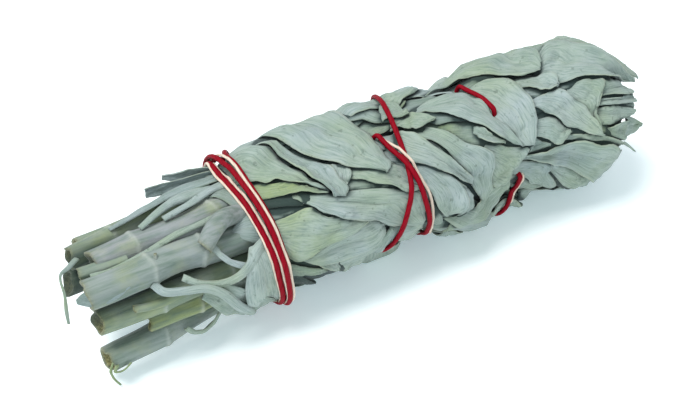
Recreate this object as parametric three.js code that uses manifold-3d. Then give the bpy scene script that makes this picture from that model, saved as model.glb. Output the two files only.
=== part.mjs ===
// A lying bunch of dried white sage: nine leafy stems laid side by side, their long leaves wound
// slantwise round the bunch in overlapping layers, and a red and a cream cotton string that are
// wound together, several turns near the cut ends and then out to the leaf tips and back.
//
// The bunch lies along X on the surface Z = 0. Places on it are given as (s, angle, radius):
// s runs along the bunch from the cut ends, the angle runs round it from +Y towards +Z.
import * as THREE from "three";
import { mergeVertices } from "three/addons/utils/BufferGeometryUtils.js";
import Module from "manifold-3d";

const wasm = await Module();
wasm.setup();

// Driving dimensions, in millimetres and degrees
const MIDDLE = 84.32; // s of the origin, halfway along the bunch
const SIDEWAYS = -0.73; // of the axis, so that the origin is halfway across the bunch too
const AXIS_HEIGHT = 23.6; // of the bunch's axis over the surface it lies on
const BLADE = 0.7; // thickness of a leaf
const LAYER_GAP = 0.4; // air between two leaves
const ARC_RADIUS = 20; // turns an angle into a length round the bunch
const RED_RADIUS = 0.8;
const CREAM_RADIUS = 0.5;
const STRING_GAP = 0.2;

const radians = THREE.MathUtils.degToRad;
const clamp = THREE.MathUtils.clamp;
const smoothstep = THREE.MathUtils.smoothstep;
const lerp = THREE.MathUtils.lerp;

function place(s, angle, radius) {
  const a = radians(angle);
  return new THREE.Vector3(
    s - MIDDLE,
    SIDEWAYS + radius * Math.cos(a),
    AXIS_HEIGHT + radius * Math.sin(a),
  );
}

// A seeded generator, so that the bunch is the same each time
function randomFrom(seed) {
  let state = seed;
  return () => {
    state = (state * 16807) % 2147483647;
    return state / 2147483647;
  };
}

// Value at x of the straight lines through points [[x, y], ...]
function along(points, x) {
  const last = points.length - 1;
  if (x <= points[0][0]) return points[0][1];
  for (let i = 0; i < last; i++) {
    const [x0, y0] = points[i];
    const [x1, y1] = points[i + 1];
    if (x <= x1) return lerp(y0, y1, (x - x0) / (x1 - x0));
  }
  return points[last][1];
}

// String: s against the whole angle that it turns, out from the binding near the cut ends to the leaf
// tips and back to the binding, whose turns lie nearer the cut ends on top than below
const CREAM_FIRST_TURN = -110;
const FIRST_TURN = 250;
const OUT_TURN = 945;
const BACK_TURN = 2229;
const LAST_TURN = 2590;
const CREAM_LAST_TURN = 1680;
const BINDING = { s: 42, lean: 4, leanAngle: 50, start: -2.8, pitch: 3, back: 6.1, end: 5.8 };
const SPIRAL = [
  [1177, 84],
  [1305, 93],
  [1520, 116],
  [1570, 119.5],
  [1613, 120.5],
  [1651, 118.5],
  [1852, 94],
  [1888, 90],
  [1927, 88],
  [1984, 81],
  [2025, 77],
];

function bindingS(turn) {
  const leaning = BINDING.s - BINDING.lean * Math.cos(radians(turn - BINDING.leanAngle));
  if (turn <= OUT_TURN) return leaning + BINDING.start + (BINDING.pitch * (turn - FIRST_TURN)) / 360;
  return leaning + lerp(BINDING.back, BINDING.end, (turn - BACK_TURN) / (LAST_TURN - BACK_TURN));
}

function stringS(turn) {
  if (turn <= OUT_TURN || turn >= BACK_TURN) return bindingS(turn);
  return along([[OUT_TURN, bindingS(OUT_TURN)], ...SPIRAL, [BACK_TURN, bindingS(BACK_TURN)]], turn);
}

// The string draws the bunch in along its way
const WAIST = { depth: 1.6, reach: 7, below: 1 };
function waist(s, angle) {
  let nearest = Infinity;
  for (let turn = (angle % 360) + 360; turn < LAST_TURN; turn += 360)
    nearest = Math.min(nearest, Math.abs(s - stringS(turn)));
  const below = 1 + WAIST.below * Math.max(0, -Math.sin(radians(angle)));
  return WAIST.depth * below * Math.exp(-((nearest / WAIST.reach) ** 2));
}

// The pressed inner leaves, which the outer ones lie on
const INNER = [
  [30, 16],
  [43, 17.2],
  [55, 16.8],
  [75, 16.2],
  [110, 16],
  [135, 15.2],
  [150, 13.6],
  [165, 10.5],
  [178, 8],
];
const PRESSED = 0.8; // how much nearer the axis they lie on the underside
const STATIONS = [-3, 22, 28, 38, 43, 50, 62, 76, 86, 92, 98, 110, 120, 135, 150, 163, 190];
function innerRadius(s, angle) {
  const at = (station) =>
    along(INNER, station) - waist(station, angle) - PRESSED * Math.max(0, -Math.sin(radians(angle)));
  const i = Math.max(1, STATIONS.findIndex((station) => station >= s));
  const [before, after] = [STATIONS[i - 1], STATIONS[i]];
  return lerp(at(before), at(after), clamp((s - before) / (after - before), 0, 1));
}

// Height field: the radius that the leaves laid so far reach, over s and angle
const FIELD = { s0: -10, cells: 200, angles: 120 };
const field = new Float64Array(FIELD.cells * FIELD.angles);
const cellAngle = 360 / FIELD.angles;
function fieldIndex(s, angle) {
  const i = clamp(Math.round(s - FIELD.s0), 0, FIELD.cells - 1);
  const j = ((Math.round(angle / cellAngle) % FIELD.angles) + FIELD.angles) % FIELD.angles;
  return i * FIELD.angles + j;
}
const reached = (s, angle) => field[fieldIndex(s, angle)];
function raiseField(s, angle, radius) {
  for (let i = -1; i <= 1; i++)
    for (let j = -1; j <= 1; j++) {
      const k = fieldIndex(s + i, angle + j * cellAngle);
      field[k] = Math.max(field[k], radius);
    }
}
for (let i = 0; i < FIELD.cells; i++)
  for (let j = 0; j < FIELD.angles; j++)
    field[i * FIELD.angles + j] = innerRadius(i + FIELD.s0, j * cellAngle);

// Stems: where each is cut (s), the place and radius of its cut end, and its sector of the bunch
const SECTOR = 40;
const SECTOR_GAP = 0.25;
const STEMS = [
  { name: "leafy_stem_1", sector: 15, cut: 4, y: 12, z: 3, radius: 3.3 },
  { name: "leafy_stem_2", sector: 55, cut: -1, y: 4.5, z: 7.2, radius: 3.4 },
  { name: "leafy_stem_3", sector: 95, cut: 2, y: -3, z: 9.2, radius: 3.7 },
  { name: "leafy_stem_4", sector: 135, cut: -3, y: -10.9, z: 7.6, radius: 3.7 },
  { name: "leafy_stem_5", sector: 175, cut: -1, y: -10.4, z: -2.8, radius: 3.2 },
  { name: "leafy_stem_6", sector: 215, cut: 12, y: -10.4, z: -8.4, radius: 2.8 },
  { name: "leafy_stem_7", sector: 255, cut: 0, y: -10.6, z: -15.6, radius: 3.4 },
  { name: "leafy_stem_8", sector: 295, cut: 3, y: 3.4, z: -9.6, radius: 3.2 },
  { name: "leafy_stem_9", sector: 335, cut: -2, y: 6, z: -1.4, radius: 3.2 },
];

// Leaves that show: from where on the bunch they grow to where their tips lie, their width, how far
// they bow sideways, and how their blade stands: ridge lifts the midrib, tip lifts the tip
const SHOWN_LEAVES = [
  { from: [128, 105], to: [170, 136], width: 13, bow: 0, ridge: 1 },
  { from: [131, 125], to: [169, 149], width: 12, bow: 1, ridge: 0 },
  { from: [130, 60], to: [171, 100], width: 14, bow: 2, ridge: 0 },
  { from: [134, 145], to: [170, 172], width: 13, bow: -2, ridge: 1, tip: 1.5 },
  { from: [130, 165], to: [168, 196], width: 10, bow: 1, ridge: 0 },
  { from: [122, 190], to: [160, 225], width: 15, bow: 2, ridge: 0.6 },
  { from: [124, 75], to: [152, 162], width: 17, bow: 6, ridge: 2 },
  { from: [116, 150], to: [158, 186], width: 16, bow: -1, ridge: 0.5 },
  { from: [112, 50], to: [171, 128], width: 19, bow: 7, ridge: 1.5 },
  { from: [114, 175], to: [143, 216], width: 15, bow: 2, ridge: 0 },
  { from: [108, 90], to: [138, 160], width: 15, bow: 4, ridge: 0 },
  { from: [106, 62], to: [141, 114], width: 13, bow: 2, ridge: 0.8 },
  { from: [98, 100], to: [121, 178], width: 16, bow: 3, ridge: 0 },
  { from: [96, 45], to: [125, 153], width: 20, bow: 6, ridge: 0 },
  { from: [90, 110], to: [113, 206], width: 18, bow: 4, ridge: 0 },
  { from: [82, 48], to: [115, 198], width: 20, bow: 7, ridge: 0 },
  { from: [84, 105], to: [99, 190], width: 14, bow: 3, ridge: 0 },
  { from: [78, 85], to: [106, 172], width: 15, bow: 4, ridge: 0 },
  { from: [58, 95], to: [87, 152], width: 14, bow: 3, ridge: 0 },
  { from: [56, 120], to: [86, 178], width: 18, bow: 4, ridge: 0 },
  { from: [54, 32], to: [82, 135], width: 21, bow: 5, ridge: 0 },
  { from: [52, 75], to: [69, 140], width: 11, bow: 2, ridge: 0 },
  { from: [50, 180], to: [85, 222], width: 17, bow: 2, ridge: 0 },
  { from: [48, 155], to: [82, 186], width: 19, bow: -2, ridge: 0.6 },
  { from: [46, 35], to: [67, 143], width: 16, bow: 4, ridge: 0 },
  { from: [40, 60], to: [62, 136], width: 15, bow: 3, ridge: 0 },
  { from: [36, 145], to: [60, 206], width: 14, bow: 2, ridge: 0 },
];

// Leaves of the back, in rows along the bunch
const ROWS = { first: 38, step: 14, count: 7, angles: [316, 350], stagger: 14 };
function rowLeaves() {
  const random = randomFrom(7);
  const leaves = [];
  for (let row = 0; row < ROWS.count; row++)
    for (const angle of ROWS.angles) {
      const s = ROWS.first + row * ROWS.step + 5 * random();
      const start = angle + (row % 2) * ROWS.stagger + 10 * random();
      leaves.push({
        from: [s, start],
        to: [Math.min(s + 26 + 12 * random(), 170), start + 60 + 30 * random()],
        width: 15 + 4 * random(),
        bow: 3 + 3 * random(),
        ridge: 0,
      });
    }
  return leaves;
}

// Leaves of the underside. Two of them lie flat on the surface and carry the bunch.
const UNDER_LEAVES = [
  { from: [128, 232], to: [160, 290], width: 13, bow: 2, ridge: 0 },
  { from: [118, 226], to: [134, 292], width: 16, bow: 0, ridge: 0, rests: true },
  { from: [102, 228], to: [111, 288], width: 11, bow: 0, ridge: 0 },
  { from: [90, 262], to: [108, 325], width: 14, bow: 2, ridge: 0 },
  { from: [80, 226], to: [90, 290], width: 14, bow: 0, ridge: 0, rests: true },
  { from: [62, 230], to: [73, 290], width: 12, bow: 0, ridge: 0 },
  { from: [54, 262], to: [72, 325], width: 14, bow: 2, ridge: 0 },
  { from: [128, 286], to: [160, 335], width: 13, bow: 2, ridge: 0 },
  { from: [106, 288], to: [132, 340], width: 14, bow: 1, ridge: 0 },
  { from: [72, 288], to: [94, 342], width: 14, bow: 1, ridge: 0 },
  { from: [42, 290], to: [64, 340], width: 13, bow: 1, ridge: 0 },
  { from: [44, 226], to: [66, 300], width: 14, bow: 1, ridge: 0 },
];
const REST_ANGLE = 22; // of the flat stretch, to each side of straight down

// A leaf grows from the near side of its stem's sector, never from its edge
const stemAt = (angle) => Math.round((angle - STEMS[0].sector) / SECTOR);
function rootOf(leaf) {
  const sector = STEMS[0].sector + SECTOR * stemAt(leaf.from[1]);
  const angle = sector + clamp(leaf.from[1] - sector, -14, -2);
  let s = leaf.from[0];
  while (s > ROOT_LEAST && !isFree(s, angle)) s -= 1;
  return [s, angle];
}

// Whether the inner leaves lie bare round a place, so that a stalk can start there
function isFree(s, angle) {
  for (let i = -2; i <= 5; i++)
    for (let j = -6; j <= 9; j += 3) {
      const bare = innerRadius(Math.round(s + i), Math.round((angle + j) / 3) * 3);
      if (reached(s + i, angle + j) > bare + 0.02) return false;
    }
  return true;
}

const ROOT_DEPTH = 1.6; // of a leaf's root in its stem
const ROOT_LEAST = 34; // s under which no leaf is rooted
const ALONG = [0, 0.07, 0.22, 0.38, 0.54, 0.7, 0.86, 1];
const ROWS_ALONG = ALONG.length - 1;
const ROWS_ACROSS = 4;
const DRAPE_PASSES = 16;
const STIFFNESS = 0.2; // how far a blade evens out what it lies on
const SAMPLES = 5;

// Half the width of a blade, as a share, from its stalk at 0 to its tip at 1
function bladeShape(u) {
  return Math.max(0.09, Math.sin(Math.PI * u ** 0.85) ** 0.8);
}

// Grid of (s, angle, inner radius) over the blade, laid on what the field holds
function layLeaf(leaf) {
  const [rootS, rootAngle] = rootOf(leaf);
  const start = [rootS, ARC_RADIUS * radians(rootAngle)];
  const end = [leaf.to[0], ARC_RADIUS * radians(leaf.to[1])];
  const chord = Math.hypot(end[0] - start[0], end[1] - start[1]);
  const normal = [(end[1] - start[1]) / chord, -(end[0] - start[0]) / chord];
  const control = [0, 1].map((k) => (start[k] + end[k]) / 2 + 2 * leaf.bow * normal[k]);
  const spot = (u, v) => {
    const at = [0, 1].map((k) => (1 - u) ** 2 * start[k] + 2 * u * (1 - u) * control[k] + u * u * end[k]);
    const way = [0, 1].map((k) => 2 * (1 - u) * (control[k] - start[k]) + 2 * u * (end[k] - control[k]));
    const length = Math.hypot(way[0], way[1]);
    const side = (v * bladeShape(u) * leaf.width) / 2;
    return [
      at[0] + (side * way[1]) / length,
      THREE.MathUtils.radToDeg((at[1] - (side * way[0]) / length) / ARC_RADIUS),
    ];
  };
  const uOf = (i) => lerp(ALONG[Math.floor(i)], ALONG[Math.ceil(i)], i % 1);
  const vOf = (j) => (2 * j) / ROWS_ACROSS - 1;

  // A blade that is drawn taut, then pushed out wherever what lies under it asks for more
  const samples = [];
  for (let i = 0; i < ROWS_ALONG; i++)
    for (let j = 0; j < ROWS_ACROSS; j++)
      for (let a = 0; a <= SAMPLES; a++)
        for (let b = 0; b <= SAMPLES; b++) {
          const [p, q] = [a / SAMPLES, b / SAMPLES];
          const need = reached(...spot(uOf(i + p), vOf(j + q))) + LAYER_GAP;
          const corners = [
            [i, j, (1 - p) * (1 - q)],
            [i + 1, j, p * (1 - q)],
            [i, j + 1, (1 - p) * q],
            [i + 1, j + 1, p * q],
          ];
          samples.push({ need, corners, square: corners.reduce((sum, c) => sum + c[2] ** 2, 0) });
        }
  let radius = [];
  for (let i = 0; i <= ROWS_ALONG; i++) {
    radius.push([]);
    for (let j = 0; j <= ROWS_ACROSS; j++) radius[i].push(reached(...spot(uOf(i), vOf(j))) + LAYER_GAP);
  }
  for (let pass = 0; pass < DRAPE_PASSES; pass++) {
    const share = pass < DRAPE_PASSES / 2 ? STIFFNESS : 0;
    radius = radius.map((row, i) =>
      row.map((value, j) => {
        const beside = [radius[i - 1]?.[j], radius[i + 1]?.[j], row[j - 1], row[j + 1]];
        const near = beside.filter((r) => r !== undefined);
        return lerp(value, near.reduce((sum, r) => sum + r, 0) / near.length, share);
      }),
    );
    for (const { need, corners, square } of samples) {
      const short = need - corners.reduce((sum, [i, j, w]) => sum + w * radius[i][j], 0);
      if (short > 0) for (const [i, j, w] of corners) radius[i][j] += (short * w) / square;
    }
  }

  const grid = radius.map((row, i) =>
    row.map((value, j) => {
      const u = uOf(i);
      const v = vOf(j);
      const [s, angle] = spot(u, v);
      let r = value + leaf.ridge * (1 - Math.abs(v)) * Math.sin(Math.PI * u) + (leaf.tip ?? 0) * u ** 3;
      if (i === 0) r = innerRadius(s, angle) - ROOT_DEPTH;
      const down = Math.abs((((angle % 360) + 360) % 360) - 270);
      const lowest = AXIS_HEIGHT / Math.cos(radians(down)) - BLADE;
      if (leaf.rests && i > 1 && down < REST_ANGLE) r = Math.max(r, lowest);
      return { s, angle, r };
    }),
  );
  for (let i = 0; i < ROWS_ALONG; i++)
    for (let j = 0; j < ROWS_ACROSS; j++)
      for (let a = 0; a <= SAMPLES; a++)
        for (let b = 0; b <= SAMPLES; b++) {
          const p = a / SAMPLES;
          const q = b / SAMPLES;
          const r = lerp(
            lerp(grid[i][j].r, grid[i + 1][j].r, p),
            lerp(grid[i][j + 1].r, grid[i + 1][j + 1].r, p),
            q,
          );
          raiseField(...spot(uOf(i + p), vOf(j + q)), r + BLADE);
        }
  return grid;
}

// A closed solid from a list of points and of triangles
function solid(points, triangles) {
  const geometry = new THREE.BufferGeometry().setFromPoints(triangles.flat().map((k) => points[k]));
  const merged = mergeVertices(geometry, 1e-4);
  const made = new wasm.Manifold(
    new wasm.Mesh({
      numProp: 3,
      vertProperties: merged.attributes.position.array,
      triVerts: new Uint32Array(merged.index.array),
    }),
  );
  return made;
}

// A blade of even thickness on its grid, its two faces split alike
function leafSolid(grid) {
  const columns = ROWS_ACROSS + 1;
  const count = (ROWS_ALONG + 1) * columns;
  const inner = grid.flat().map(({ s, angle, r }) => place(s, angle, r));
  const outer = grid.flat().map(({ s, angle, r }) => place(s, angle, r + BLADE));
  const triangles = [];
  for (let i = 0; i < ROWS_ALONG; i++)
    for (let j = 0; j < ROWS_ACROSS; j++) {
      const a = i * columns + j;
      const [b, c, d] = [a + columns, a + columns + 1, a + 1];
      triangles.push([a, c, b], [a, d, c]);
      triangles.push([count + a, count + b, count + c], [count + a, count + c, count + d]);
    }
  const rim = [];
  for (let i = 0; i < ROWS_ALONG; i++) rim.push(i * columns);
  for (let j = 0; j < ROWS_ACROSS; j++) rim.push(ROWS_ALONG * columns + j);
  for (let i = ROWS_ALONG; i > 0; i--) rim.push(i * columns + ROWS_ACROSS);
  for (let j = ROWS_ACROSS; j > 0; j--) rim.push(j);
  rim.forEach((a, k) => {
    const b = rim[(k + 1) % rim.length];
    triangles.push([a, b, count + b], [a, count + b, count + a]);
  });
  return solid([...inner, ...outer], triangles);
}

// A loft through sections of equally many points, closed at both ends
function loft(sections) {
  const sides = sections[0].length;
  const points = sections.flat();
  const triangles = [];
  for (let i = 0; i + 1 < sections.length; i++)
    for (let j = 0; j < sides; j++) {
      const [a, b] = [i * sides + j, i * sides + ((j + 1) % sides)];
      triangles.push([a, b, b + sides], [a, b + sides, a + sides]);
    }
  const last = (sections.length - 1) * sides;
  for (let j = 1; j + 1 < sides; j++) {
    triangles.push([0, j + 1, j]);
    triangles.push([last, last + j, last + j + 1]);
  }
  return solid(points, triangles);
}

// A stem: round where it is bare, then widening into its sector of pressed inner leaves
const BARE_END = 22;
const SECTOR_START = 38;
const CORE_END = 150;
const BUD_END = 163;
function stemSolid(stem) {
  const stations = [stem.cut, ...STATIONS.filter((s) => s >= BARE_END && s <= CORE_END)];
  const sections = stations.map((s) => stemSection(stem, s, 1));
  sections.push(stemSection(stem, BUD_END, 0.35));
  return loft(sections);
}

const SIDES = 8;
const HOME_RADIUS = 11; // of a round stem where its inner leaves start
function stemSection(stem, s, share) {
  const spread = smoothstep(s, BARE_END, SECTOR_START);
  const way = clamp((s - stem.cut) / (SECTOR_START - stem.cut), 0, 1);
  const toward = new THREE.Vector2(Math.cos(radians(stem.sector)), Math.sin(radians(stem.sector)));
  const centre = new THREE.Vector2(stem.y, stem.z).lerp(toward.clone().multiplyScalar(HOME_RADIUS), way);
  const rim = (angle) => (innerRadius(s, angle) - 0.05) * (share < 1 ? 0.8 : 1);
  const half = (r) => SECTOR / 2 - THREE.MathUtils.radToDeg(Math.asin(SECTOR_GAP / r));
  const out = rim(stem.sector);
  const middle = out * 0.5;
  const corners = [
    [2, 0],
    [middle, -half(middle)],
    [0, -half(out)],
    [0, -half(out) / 2],
    [0, 0],
    [0, half(out) / 2],
    [0, half(out)],
    [middle, half(middle)],
  ];
  return corners.map(([r, turn], k) => {
    const angle = stem.sector + turn;
    const radius = r || rim(angle);
    const wedge = new THREE.Vector2(radius * Math.cos(radians(angle)), radius * Math.sin(radians(angle)));
    if (share < 1) wedge.lerp(toward.clone().multiplyScalar(middle), 1 - share);
    const turnHere = radians(stem.sector + 180 + (k * 360) / SIDES);
    const round = new THREE.Vector2(Math.cos(turnHere), Math.sin(turnHere));
    round.multiplyScalar(stem.radius).add(centre);
    const at = round.lerp(wedge, spread);
    return new THREE.Vector3(s - MIDDLE, SIDEWAYS + at.x, AXIS_HEIGHT + at.y);
  });
}

// A string's centre line on the leaves, lifted over the strands that it crosses
const TURN_STEP = 18;
const FINE_STEPS = 6;
const TAUT_PASSES = 30;
const TAUT_DIP = 1; // how far a taut strand cuts the corner at each step
const laid = [];
const radiusAt = ({ line, k, f }) => lerp(line[k].r, line[k + 1].r, f);
function lift({ line, k, f }, by) {
  if (by <= 0) return;
  const square = f * f + (1 - f) * (1 - f);
  line[k].r += (by * (1 - f)) / square;
  line[k + 1].r += (by * f) / square;
}
function crossedBy(at, others) {
  const found = [];
  for (const other of others) {
    const round = ((((at.turn - other.turn) % 360) + 540) % 360) - 180;
    const apart = Math.hypot(at.s - other.s, radians(round) * ARC_RADIUS);
    const reach = at.radius + other.radius + STRING_GAP;
    if (apart < reach - 0.02) found.push({ other, over: Math.sqrt(reach ** 2 - apart ** 2) });
  }
  return found;
}
function restOn(s, turn, radius) {
  let under = 0;
  for (const ds of [-radius, 0, radius])
    for (const da of [-3, 0, 3]) under = Math.max(under, reached(s + ds, turn + da));
  return under + STRING_GAP + radius;
}
function stringLine(radius, beside, firstTurn, lastTurn) {
  const line = [];
  for (let turn = firstTurn; turn <= lastTurn; turn += TURN_STEP) {
    const slope = (stringS(turn + 5) - stringS(turn - 5)) / (ARC_RADIUS * radians(10));
    const s = stringS(turn) + beside * Math.hypot(1, slope);
    line.push({ s, turn, r: restOn(s, turn, radius), radius });
  }
  const fine = [];
  for (let k = 0; k + 1 < line.length; k++)
    for (let step = 0; step < FINE_STEPS; step++) {
      const f = step / FINE_STEPS;
      const s = lerp(line[k].s, line[k + 1].s, f);
      const turn = lerp(line[k].turn, line[k + 1].turn, f);
      fine.push({ line, k, f, radius, s, turn });
    }
  const crossed = fine.map((at) => {
    const earlier = fine.filter((other) => other.turn < at.turn - 200);
    return crossedBy(at, [...laid, ...earlier]);
  });
  for (let pass = 0; pass < TAUT_PASSES; pass++) {
    const before = line.map(({ r }) => r);
    for (let k = 1; k + 1 < line.length && pass + 1 < TAUT_PASSES; k++)
      line[k].r = lerp(before[k], (before[k - 1] + before[k + 1]) / 2 - TAUT_DIP, 0.6);
    fine.forEach((at, i) => {
      lift(at, restOn(at.s, at.turn, radius) - radiusAt(at));
      for (const { other, over } of crossed[i]) lift(at, radiusAt(other) + over - radiusAt(at));
    });
  }
  laid.push(...fine);
  return line;
}

function stringSolid(line) {
  const points = line.map(({ s, turn, r }) => place(s, turn, r));
  const sides = 8;
  const sections = points.map((p, i) => {
    const way = new THREE.Vector3()
      .subVectors(points[Math.min(i + 1, points.length - 1)], points[Math.max(i - 1, 0)])
      .normalize();
    const out = new THREE.Vector3(0, p.y - SIDEWAYS, p.z - AXIS_HEIGHT).normalize();
    const side = new THREE.Vector3().crossVectors(way, out).normalize();
    out.crossVectors(side, way);
    const radius = line[i].radius;
    return Array.from({ length: sides }, (_, k) => {
      const a = (2 * Math.PI * (k + 0.5)) / sides;
      return p.clone().addScaledVector(out, radius * Math.cos(a)).addScaledVector(side, radius * Math.sin(a));
    });
  });
  return loft(sections);
}

function meshOf(made, name, colour, roughness) {
  const { numProp, vertProperties, triVerts } = made.getMesh();
  const geometry = new THREE.BufferGeometry();
  geometry.setAttribute("position", new THREE.BufferAttribute(vertProperties, numProp));
  geometry.setIndex(new THREE.BufferAttribute(triVerts, 1));
  geometry.computeVertexNormals();
  const material = new THREE.MeshStandardMaterial({ color: colour, roughness, metalness: 0 });
  const mesh = new THREE.Mesh(geometry, material);
  mesh.name = name;
  return mesh;
}

const bunch = new THREE.Group();
const leaves = [...SHOWN_LEAVES, ...UNDER_LEAVES, ...rowLeaves()].sort((a, b) => b.from[0] - a.from[0]);
const pieces = STEMS.map((stem) => [stemSolid(stem)]);
for (const leaf of leaves) {
  const stem = ((stemAt(leaf.from[1]) % STEMS.length) + STEMS.length) % STEMS.length;
  pieces[stem].push(leafSolid(layLeaf(leaf)));
}
STEMS.forEach((stem, i) => bunch.add(meshOf(wasm.Manifold.union(pieces[i]), stem.name, "#a9b7ab", 0.9)));

const red = stringLine(RED_RADIUS, 0, FIRST_TURN, LAST_TURN);
const creamBeside = RED_RADIUS + CREAM_RADIUS + STRING_GAP;
const cream = stringLine(CREAM_RADIUS, creamBeside, CREAM_FIRST_TURN, CREAM_LAST_TURN);
bunch.add(meshOf(stringSolid(red), "red_string", "#a0182a", 0.8));
bunch.add(meshOf(stringSolid(cream), "cream_string", "#e0cdbd", 0.8));

export default bunch;
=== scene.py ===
"""A bunch of dried white sage on a pale floor: stems, wound leaves and two cotton strings."""

import math

import bpy
import numpy as np
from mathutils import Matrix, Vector


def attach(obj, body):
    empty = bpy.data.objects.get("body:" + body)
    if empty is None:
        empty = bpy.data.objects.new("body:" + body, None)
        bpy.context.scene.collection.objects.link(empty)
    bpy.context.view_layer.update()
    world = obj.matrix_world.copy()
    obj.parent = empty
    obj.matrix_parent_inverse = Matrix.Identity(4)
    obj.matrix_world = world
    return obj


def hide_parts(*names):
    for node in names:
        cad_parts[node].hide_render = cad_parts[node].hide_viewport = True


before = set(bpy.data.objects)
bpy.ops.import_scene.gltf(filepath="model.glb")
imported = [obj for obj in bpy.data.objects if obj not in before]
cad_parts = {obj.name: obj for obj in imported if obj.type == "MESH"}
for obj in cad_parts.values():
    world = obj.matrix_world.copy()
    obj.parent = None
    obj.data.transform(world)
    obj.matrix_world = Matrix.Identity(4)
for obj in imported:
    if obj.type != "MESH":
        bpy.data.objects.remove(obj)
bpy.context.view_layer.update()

MM = 0.001
FULL_TURN = 2 * math.pi

# The bunch's own coordinates, as in the solids: s along it from the cut ends in millimetres, the
# angle round it from +Y towards +Z in degrees, and the radius in millimetres
MIDDLE = 84.32
SIDEWAYS = -0.73
AXIS_HEIGHT = 23.6
ARC_RADIUS = 20.0  # turns an angle into a length round the bunch

RED_RADIUS = 0.74
CREAM_RADIUS = 0.42
BLADE = 0.5  # thickness of a leaf
FLOOR_GAP = 0.58  # least height of a blade's inner face above the floor


def place(s, angle, radius):
    """Points in metres, shape (..., 3)."""
    a = np.radians(angle)
    y, z = SIDEWAYS + radius * np.cos(a), AXIS_HEIGHT + radius * np.sin(a)
    return MM * np.stack(np.broadcast_arrays(s - MIDDLE, y, z), axis=-1)


def ripple(a, b, seed, low=0.5, high=1.5):
    """A smooth random surface of about unit height over two coordinates."""
    draw = np.random.default_rng(seed)
    waves = 6
    total = 0
    for _ in range(waves):
        heading = draw.uniform(0, FULL_TURN)
        pitch = draw.uniform(low, high)
        phase = draw.uniform(0, FULL_TURN)
        way = a * math.cos(heading) + b * math.sin(heading)
        total = total + np.sin(FULL_TURN * pitch * way + phase)
    return total / math.sqrt(waves / 2)


def curve_through(knots, count):
    """Points on a smooth curve through knots of any size, evenly shared between them."""
    knots = np.asarray(knots, float)
    padded = np.vstack([2 * knots[0] - knots[1], knots, 2 * knots[-1] - knots[-2]])
    at = np.linspace(0, len(knots) - 1, count)
    i = np.minimum(at.astype(int), len(knots) - 2)
    f = (at - i)[:, None]
    a, b, c, d = padded[i], padded[i + 1], padded[i + 2], padded[i + 3]
    square, cube = 2 * a - 5 * b + 4 * c - d, 3 * b - a - 3 * c + d
    return 0.5 * (2 * b + (c - a) * f + square * f**2 + cube * f**3)


def smoothstep(x, low, high):
    t = np.clip((x - low) / (high - low), 0, 1)
    return t * t * (3 - 2 * t)


def hump(x, up, down):
    """Rises from nought to one over the first stretch, and falls back over the second."""
    return smoothstep(x, *up) * (1 - smoothstep(x, *down))


def unit(vectors):
    return vectors / np.linalg.norm(vectors, axis=-1, keepdims=True)


def distances(points):
    """How far along a line each of its points is."""
    return np.concatenate([[0], np.cumsum(np.linalg.norm(np.diff(points, axis=0), axis=1))])


def tube_faces(rows, sides):
    """The faces of a tube of rings, then its first and its last end."""
    index = np.arange(rows * sides).reshape(rows, sides)
    a, b = index[:-1], index[1:]
    around = np.stack([a, np.roll(a, -1, axis=1), np.roll(b, -1, axis=1), b], axis=-1)
    return [*around.reshape(-1, 4), tuple(index[0][::-1]), tuple(index[-1])]


# String route: s against the whole angle that it turns
FIRST_TURN = 250
CREAM_FIRST_TURN = -110
OUT_TURN = 945
BACK_TURN = 2229
LAST_TURN = 2590
CREAM_LAST_TURN = 1680
SPIRAL = [
    (1177, 84), (1305, 93), (1520, 116), (1570, 120), (1618, 122.6), (1644, 123.6), (1668, 123),
    (1700, 118.5), (1852, 94), (1888, 90), (1927, 88), (1984, 81), (2025, 77),
]

# Where the binding's turns out and its turns back start across it, and how far they move on
BINDING_OUT = (-3.8, 2.9)
BINDING_BACK = (3.7, -0.8)
# The binding's middle and how far its turns spread, over angle
BINDING_MIDDLE = [
    (0, 43.4), (52, 42), (86, 42.2), (118, 43.2), (137, 43.8), (157, 44.3), (178, 45), (225, 47.4),
    (270, 47.4), (320, 45.4), (360, 43.4),
]
BINDING_SPREAD = [
    (0, 0.55), (52, 0.55), (80, 0.7), (110, 0.66), (135, 0.6), (160, 0.66), (180, 0.6), (225, 0.46),
    (360, 0.55),
]


def binding_s(turn):
    """The turns of the binding lean towards the viewer, and draw together low down on that side."""
    angle = np.mod(turn, 360)
    out = BINDING_OUT[0] + BINDING_OUT[1] * (turn - FIRST_TURN) / 360
    back = BINDING_BACK[0] + BINDING_BACK[1] * (turn - BACK_TURN) / (LAST_TURN - BACK_TURN)
    across = np.where(turn <= OUT_TURN, out, back)
    return np.interp(angle, *zip(*BINDING_MIDDLE)) + np.interp(angle, *zip(*BINDING_SPREAD)) * across


def string_s(turn):
    turn = np.asarray(turn, float)
    ends = [(end, float(binding_s(end))) for end in (OUT_TURN, BACK_TURN)]
    knots = [ends[0], *SPIRAL, ends[1]]
    spiral = np.interp(turn, *zip(*knots))
    return np.where((turn <= OUT_TURN) | (turn >= BACK_TURN), binding_s(turn), spiral)


def string_distance(s, angle):
    """How far a place is from the nearest string, in millimetres along the bunch."""
    nearest = np.full(np.broadcast(s, angle).shape, np.inf)
    for turn in range(LAST_TURN // 360 + 1):
        whole = np.mod(angle, 360) + 360 * turn
        inside = (whole >= FIRST_TURN) & (whole <= LAST_TURN)
        nearest = np.where(inside, np.minimum(nearest, np.abs(s - string_s(whole))), nearest)
    return nearest


# The pressed inner leaves: their radius over s
INNER = [
    (-12, 15), (30, 16), (43, 17.2), (55, 17.6), (75, 17.6), (110, 17.6), (135, 16.6), (150, 12.5),
    (160, 7), (172, 3), (190, 2),
]
PRESSED = 0.8  # how much nearer the axis they lie on the underside
WAIST_DEPTH = 1.8  # how deep a string presses them
WAIST_REACH = 6  # and how far to its sides


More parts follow.
